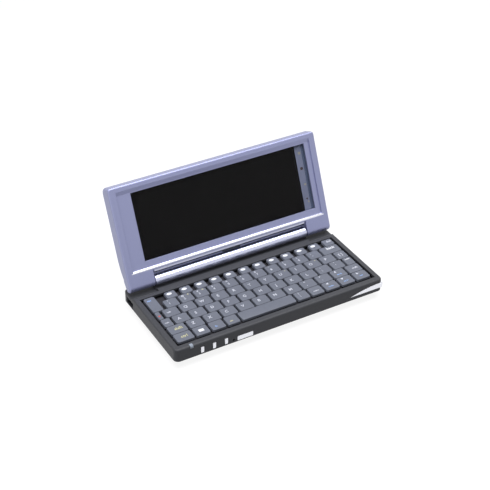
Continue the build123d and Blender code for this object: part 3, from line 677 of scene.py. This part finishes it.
cap_models = {}
key_tops = {}
for name in key_nodes:
    outlines = key_outlines(name)
    caps = []
    for low, high in outlines:
        size = high - low
        key = (round(size.x / mm, 2), round(size.y / mm, 2))
        if key not in cap_models:
            dish = 0.0 if name == "space_bar" else dish_depth
            cap_models[key] = model_cap(size.x - 2 * key_inset_x, size.y, size.z, dish)
        cap = cap_models[key].copy()
        cap.data = cap_models[key].data.copy()
        bpy.context.scene.collection.objects.link(cap)
        cap.location = ((low.x + high.x) / 2, (low.y + high.y) / 2, low.z)
        caps.append(cap)
    piece = join_as(short_name(name) + "_cap", caps)
    piece.data.materials.append(key_plastic)
    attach(piece, name)
    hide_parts(name)
    key_tops[name] = (piece, outlines)
for model in cap_models.values():
    bpy.data.objects.remove(model)

# Key legends
# Pad-printed ink, a few hundredths of a millimetre thick: white for what a key types, yellow,
# blue or red for its other uses, and dark figures on the function keys' white patches.

# The ink's thin and thick places are drawn this far apart, coarser than they are, so that they
# show.
film_mm = 0.667


def ink(name, colour):
    """Matt printing ink with a slightly uneven film."""
    material = empty_material(name)
    place = add_node(material, "TexCoord").outputs["Object"]
    film = add_node(
        material, "TexNoise", {"Vector": place, "Scale": 1 / (film_mm * mm), "Detail": 2.0}
    )
    tone = linear(colour)
    base = add_node(
        material, "Mix",
        {
            mix_share: film.outputs["Fac"],
            mix_first: scaled(tone, 0.88),
            mix_second: scaled(tone, 1.08),
        },
        data_type="RGBA",
    )
    surface = add_node(
        material, "BsdfPrincipled",
        {"Base Color": base.outputs[mix_result], "Roughness": 0.45, "IOR": 1.5},
    )
    add_node(material, "OutputMaterial", {"Surface": surface.outputs[0]})
    return material


bright_ink = ink("bright_white_pad_print", "#E9EBF2")
white_ink = ink("white_pad_print", "#C9CCD8")
yellow_ink = ink("yellow_pad_print", "#C4C19A")
blue_ink = ink("blue_pad_print", "#8FB0E6")
red_ink = ink("red_pad_print", "#B2504C")
dark_ink = ink("dark_pad_print", "#3B3D46")
ink_film = 0.05 * mm
ink_lift = 0.02 * mm
# The prints are drawn flat this far above the keys and then laid down on them
ink_drop = 1.0 * mm
# A capital's height as a share of the type size, and how far its strokes are thickened
capital_share = 0.7
bolder = 0.035


def lettering(words, x, y, height, colour):
    """Bold printed words centred on a place, as a flat mesh."""
    bpy.ops.object.select_all(action="DESELECT")
    bpy.ops.object.text_add(location=(x, y, 0))
    text = bpy.context.object
    text.data.body = words
    text.data.size = height / capital_share
    text.data.offset = bolder * height
    text.data.align_x = "CENTER"
    text.data.align_y = "CENTER"
    text.data.resolution_u = 2
    text.data.materials.append(colour)
    bpy.ops.object.convert(target="MESH")
    bpy.ops.object.transform_apply(location=True, rotation=True, scale=True)
    return bpy.context.object


def patch(sides, x, y, width, height, colour, angle):
    """A printed patch centred on a place: a regular outline stretched to a size."""
    bpy.ops.object.select_all(action="DESELECT")
    bpy.ops.mesh.primitive_circle_add(vertices=sides, radius=0.5, fill_type="NGON")
    shape = bpy.context.object
    shape.rotation_euler.z = angle
    bpy.ops.object.transform_apply(location=True, rotation=True, scale=True)
    shape.scale = (width / shape.dimensions.x, height / shape.dimensions.y, 1)
    shape.location = (x, y, 0)
    bpy.ops.object.transform_apply(location=True, rotation=True, scale=True)
    shape.data.materials.append(colour)
    return shape


# For each node: words for its keys from left to right, their middle from each key's left and
# rear edges in mm, their height in mm, and the ink
words_of = {
    "control_key": [(["ctrl"], 8.4, 4.8, 2.9, yellow_ink)],
    "fn_key": [(["fn"], 5.2, 6.4, 2.0, blue_ink)],
    "alt_key": [(["alt"], 4.9, 6.2, 1.8, yellow_ink)],
    "slash_key": [(["|"], 4.7, 2.0, 1.7, white_ink), (["\\"], 4.7, 5.6, 1.9, white_ink)],
    "menu_key": [(["menu"], 6.4, 5.4, 1.6, white_ink)],
    "left_arrow_key": [(["home"], 7.0, 6.1, 1.4, blue_ink)],
    "down_arrow_key": [(["pg dn"], 6.9, 5.8, 1.4, blue_ink)],
    "right_arrow_key": [(["end"], 6.9, 5.8, 1.4, blue_ink)],
    "up_arrow_key": [(["pg up"], 6.9, 6.0, 1.4, blue_ink)],
    "left_shift_key": [(["shift"], 8.8, 4.6, 2.9, yellow_ink)],
    "right_shift_key": [(["shift"], 8.2, 4.8, 2.2, white_ink)],
    "caps_key": [(["caps"], 4.1, 5.0, 1.4, white_ink)],
    "enter_key": [(["enter"], 4.6, 2.2, 1.6, bright_ink)],
    "tab_key": [(["tab"], 4.9, 4.4, 1.9, white_ink)],
    "escape_key": [(["esc"], 4.0, 3.6, 2.0, blue_ink)],
    "delete_key": [(["del"], 6.4, 2.9, 2.6, white_ink)],
    "backspace_key": [(["back"], 10.4, 2.9, 2.9, bright_ink)],
    "lower_letter_keys": [
        (list("ZXCVBNM") + ["", ""], 5.4, 4.6, 2.8, white_ink),
        ([""] * 7 + [",", "."], 5.2, 5.6, 2.6, white_ink),
        ([""] * 7 + ["<", ">"], 5.0, 2.0, 1.8, white_ink),
    ],
    "home_letter_keys": [
        (list("ASDFGHJKL") + ["", ""], 5.4, 4.7, 2.8, white_ink),
        ([""] * 9 + [";", "'"], 5.0, 5.6, 2.4, white_ink),
        ([""] * 9 + [":", "\""], 5.0, 2.0, 1.8, white_ink),
    ],
    "upper_letter_keys": [
        (list("QWERTYUIOP") + ["[ ]"], 5.3, 4.5, 2.8, white_ink),
        ([""] * 6 + ["+", "", "=", "", ""], 10.8, 1.9, 1.4, yellow_ink),
    ],
    "number_keys": [
        (list("1234567890-"), 4.8, 5.4, 2.3, white_ink),
        (list("!@#$%^&*()_"), 4.5, 1.9, 1.7, white_ink),
        (["", "+", "="] + [""] * 8, 9.3, 1.8, 2.4, yellow_ink),
    ],
    "function_keys": [([str(i + 1) for i in range(11)], 4.3, 2.9, 1.4, dark_ink)],
}
# For each node: the sides of a patch, its middle and size in mm, its ink and its turn
patches_of = {
    "start_key": (4, 6.6, 4.9, 4.4, 2.9, bright_ink, pi / 4),
    "power_key": (14, 2.6, 5.6, 1.8, 1.8, red_ink, 0.0),
    "function_keys": (8, 4.3, 2.9, 4.4, 2.6, bright_ink, pi / 8),
    "left_arrow_key": (3, 5.6, 2.2, 2.2, 2.2, white_ink, pi / 2),
    "down_arrow_key": (3, 5.2, 2.2, 2.2, 2.2, white_ink, pi),
    "right_arrow_key": (3, 5.2, 2.2, 2.2, 2.2, white_ink, -pi / 2),
    "up_arrow_key": (3, 5.2, 2.4, 2.2, 2.2, white_ink, 0.0),
}

for name, (cap, outlines) in key_tops.items():
    prints = []
    for words, x, y, height, colour in words_of.get(name, []):
        for word, (low, high) in zip(words, outlines):
            if word:
                spot = (low.x + x * mm, high.y - y * mm)
                prints.append(lettering(word, *spot, height * mm, colour))
    if name in patches_of:
        sides, x, y, width, height, colour, angle = patches_of[name]
        for low, high in outlines:
            spot = (low.x + x * mm, high.y - y * mm)
            prints.append(patch(sides, *spot, width * mm, height * mm, colour, angle))
    if not prints:
        continue
    legend = join_as(short_name(name) + "_legend", prints)
    legend.data.transform(Matrix.Translation((0, 0, outlines[0][1].z + ink_drop)))
    wrap = legend.modifiers.new("lay_on_cap", "SHRINKWRAP")
    wrap.wrap_method = "PROJECT"
    wrap.use_project_z = True
    wrap.use_positive_direction = False
    wrap.use_negative_direction = True
    wrap.target = cap
    wrap.offset = ink_lift
    film = legend.modifiers.new("film", "SOLIDIFY")
    film.thickness = ink_film
    film.offset = -1
    select_alone(legend)
    bpy.ops.object.modifier_apply(modifier="lay_on_cap")
    bpy.ops.object.modifier_apply(modifier="film")
    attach(legend, name)

# Hinge spine
# A satin anodised aluminium tube across the back of the base; the lid's two knuckles turn on
# the steel pins at its ends.
spine_silver = plated_metal(
    "satin_anodised_aluminium", "#C8CBE2", roughness=0.24, streak_mm=0.4
)
make_of(spine_silver, "hinge_spine")

# Lid shells
# Cover and front frame are ABS under a lavender-silver metallic lacquer with a satin clear coat.
# Where the frame's foot curves round the spine, between the knuckles, a dark blue-grey is painted in as shade, and
# the metallic share drops to nothing there.
lavender = "#8F93B6"
lid_metallic = 0.55
lid_roughness = 0.38
lid_flake_mm = 0.3
lid_lacquer = silver_lacquer(
    "lavender_silver_lacquer", lavender, lid_metallic, lid_roughness, lid_flake_mm
)
make_of(lid_lacquer, "lid_cover")
frame_lacquer = silver_lacquer(
    "masked_lavender_silver_lacquer", lavender, lid_metallic, lid_roughness, lid_flake_mm
)
make_of(frame_lacquer, "lid_bezel")
hinge = next(joint for joint in frame["joints"] if joint["name"] == "lid_hinge")
hinge_place = Vector(hinge["pos_m"])
# The painted shade: between the knuckles, and within this reach of the hinge's axis
painted_shade_half = 71.0 * mm
painted_shade_reach = 8.3 * mm
point = add_node(frame_lacquer, "TexCoord").outputs["Object"]
offset = add_node(frame_lacquer, "VectorMath", {0: point, 1: hinge_place}, operation="SUBTRACT")
radial = add_node(
    frame_lacquer, "VectorMath", {0: offset.outputs[0], 1: (0, 1, 1)}, operation="MULTIPLY"
)
reach = add_node(frame_lacquer, "VectorMath", {0: radial.outputs[0]}, operation="LENGTH")
near = add_node(
    frame_lacquer, "Math", {0: reach.outputs["Value"], 1: painted_shade_reach}, operation="LESS_THAN"
)
along = add_node(frame_lacquer, "SeparateXYZ", {0: offset.outputs[0]}).outputs[0]
aside = add_node(frame_lacquer, "Math", {0: along}, operation="ABSOLUTE")
between = add_node(
    frame_lacquer, "Math", {0: aside.outputs[0], 1: painted_shade_half}, operation="LESS_THAN"
)
painted_shade_mask = add_node(
    frame_lacquer, "Math", {0: near.outputs[0], 1: between.outputs[0]}, operation="MULTIPLY"
)
shader = next(n for n in frame_lacquer.node_tree.nodes if n.type == "BSDF_PRINCIPLED")
lacquered = shader.inputs["Base Color"].links[0].from_socket
# Dark blue-grey painted shade in the hollow round the spine, mixed over the lacquer's colour
painted_shade_colour = add_node(
    frame_lacquer, "Mix",
    {mix_share: painted_shade_mask.outputs[0], mix_first: lacquered, mix_second: linear("#1D2632")},
    data_type="RGBA",
)
frame_lacquer.node_tree.links.new(painted_shade_colour.outputs[mix_result], shader.inputs["Base Color"])
metal_part = add_node(
    frame_lacquer, "MapRange", {"Value": painted_shade_mask.outputs[0], "To Min": lid_metallic, "To Max": 0.0}
)
frame_lacquer.node_tree.links.new(metal_part.outputs[0], shader.inputs["Metallic"])

# Bead
# A satin-chromed rod with round ends, pressed into a groove along the foot of the screen's
# frame, where it catches the light as one bright line.
bead_r = 1.66 * mm
bead_half = 90.7 * mm
bead_end = 1.1 * mm
bead_s = 14.8 * mm
bead_n = -1.6 * mm
# The lid's own directions, at the angle it closes by: s runs up the lid from its foot, and n
# out of its front face. The hinge's axis lies inside the corner where they start.
closing_angle = -hinge["range_deg"][0]
lid_lean = radians(closing_angle - 90)
lid_up = Vector((0, sin(lid_lean), cos(lid_lean)))
lid_out = Vector((0, -cos(lid_lean), sin(lid_lean)))
axis_s = 3.95 * mm
axis_n = -4.39 * mm
lid_start = hinge_place - lid_up * axis_s - lid_out * axis_n


def on_lid(x, s, n):
    """A point given in the lid's own directions."""
    return Vector((x, 0, 0)) + lid_start + lid_up * s + lid_out * n


bpy.ops.object.select_all(action="DESELECT")
bpy.ops.mesh.primitive_cylinder_add(
    vertices=40, radius=bead_r, depth=2 * bead_half,
    location=on_lid(0, bead_s, bead_n), rotation=(0, pi / 2, 0),
)
bead = bpy.context.object
edit_only(bead, "EDGE", lambda edge: rise(edge) < bead_r)
bpy.ops.mesh.bevel(offset=bead_end, segments=5, affect="EDGES")
bpy.ops.object.mode_set(mode="OBJECT")
bpy.ops.object.shade_smooth_by_angle(angle=smooth_angle)
bead = join_as("lid_bead", [bead])
bead.data.materials.append(plated_metal("satin_chrome", "#E8E9F2", roughness=0.24, streak_mm=0.4))
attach(bead, "lid")

# Foot trim
# A flat strip of ABS glued on under the bead between the knuckles. Its paler silver lacquer is a painted
# highlight, for the lit band just below the bead. Below the strip the foot falls back towards the spine.
trim_gap = 0.4 * mm
trim_size = (2 * (painted_shade_half - trim_gap), 1.4 * mm, 1.9 * mm)
trim_edge = 0.35 * mm
trim_s = 12.5 * mm
trim_n = -1.3 * mm
# The pale colour is a painted highlight, far lighter than the lid's lavender lacquer
trim_highlight_lacquer = silver_lacquer(
    "pale_silver_lacquer", "#CDD0E4", metallic=0.5, roughness=0.32, flake_mm=0.3
)
trim = rounded_block(trim_size, (0, 0, 0), trim_edge)
trim.rotation_euler.x = -lid_lean
trim.location = on_lid(0, trim_s, trim_n)
trim = join_as("lid_foot_trim", [trim])
trim.data.materials.append(trim_highlight_lacquer)
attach(trim, "lid")

# Screen
# An unlit passive screen under a hard-coated touch glass: nearly black, with a weak blurred
# reflection. The hot-key strip beside it is printed film under the same glass.

# The faint unevenness of a film's tone and gloss is this coarse.
haze_mm = 55.6


def screen_film(name, colour, roughness, clear=0.0):
    """A dark smooth layer with a weak reflection; clear is how much shows through it."""
    material = empty_material(name)
    place = add_node(material, "TexCoord").outputs["Object"]
    haze = add_node(
        material, "TexNoise", {"Vector": place, "Scale": 1 / (haze_mm * mm), "Detail": 3.0}
    )
    tone = linear(colour)
    base = add_node(
        material, "Mix",
        {
            mix_share: haze.outputs["Fac"],
            mix_first: scaled(tone, 0.85),
            mix_second: scaled(tone, 1.15),
        },
        data_type="RGBA",
    )
    rough = add_node(
        material, "MapRange",
        {"Value": haze.outputs["Fac"], "To Min": roughness * 0.85, "To Max": roughness * 1.15},
    )
    surface = add_node(
        material, "BsdfPrincipled",
        {
            "Base Color": base.outputs[mix_result],
            "Roughness": rough.outputs[0],
            "IOR": 1.5,
            "Specular IOR Level": 0.12,
            "Alpha": 1.0 - clear,
        },
    )
    add_node(material, "OutputMaterial", {"Surface": surface.outputs[0]})
    return material


make_of(screen_film("unlit_screen", "#080708", roughness=0.3), "display_panel")
touch_glass = screen_film("hard_coated_touch_glass", "#0C0C0E", roughness=0.22, clear=0.88)
make_of(touch_glass, "touch_panel")
make_of(screen_film("printed_strip_film", "#979EBC", roughness=0.3), "hot_key_strip")

# Hot-key prints
# Ink screen-printed on the face of the strip's film: its black border beside the picture and plain marks where a
# finger taps. The darker slate margin along its right edge is painted shade, for the shadow of the window's edge.
strip_n = -3.7 * mm
print_lift = 0.02 * mm
print_film = 0.04 * mm
black_ink = screen_film("black_screen_print", "#080708", roughness=0.3)
edge_shade_ink = ink("slate_screen_print", "#616E8C")
cream_ink = ink("cream_screen_print", "#B5B4A6")
brown_ink = ink("brown_screen_print", "#4A3B3A")
strip_middle = 49.7
strip_height = 56.3
# Sides, middle along X and up the lid, width and height in mm, ink and turn
strip_marks = [
    (4, 74.2, strip_middle, 1.9, strip_height, black_ink, pi / 4),
    # The slate band along the strip's right edge is painted shade of the window's edge
    (4, 82.6, strip_middle, 2.6, strip_height, edge_shade_ink, pi / 4),
    (16, 79.2, 70.4, 2.6, 2.6, cream_ink, 0.0),
    (4, 78.9, 57.2, 2.4, 2.2, brown_ink, pi / 4),
    (16, 79.6, 43.4, 2.2, 1.8, cream_ink, 0.0),
    (3, 78.9, 30.9, 2.0, 2.0, brown_ink, pi / 2),
    (16, 80.0, 28.2, 1.6, 1.6, cream_ink, 0.0),
]
prints = []
for sides, x, s, width, height, colour, angle in strip_marks:
    prints.append(patch(sides, x * mm, s * mm, width * mm, height * mm, colour, angle))
strip_print = join_as("hot_key_prints", prints)
film = strip_print.modifiers.new("film", "SOLIDIFY")
film.thickness = print_film
film.offset = 1
bpy.ops.object.modifier_apply(modifier="film")
strip_print.data.transform(
    Matrix.Translation(on_lid(0, 0, strip_n + print_lift))
    @ Matrix.Rotation(pi / 2 - lid_lean, 4, "X")
)
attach(strip_print, "lid")
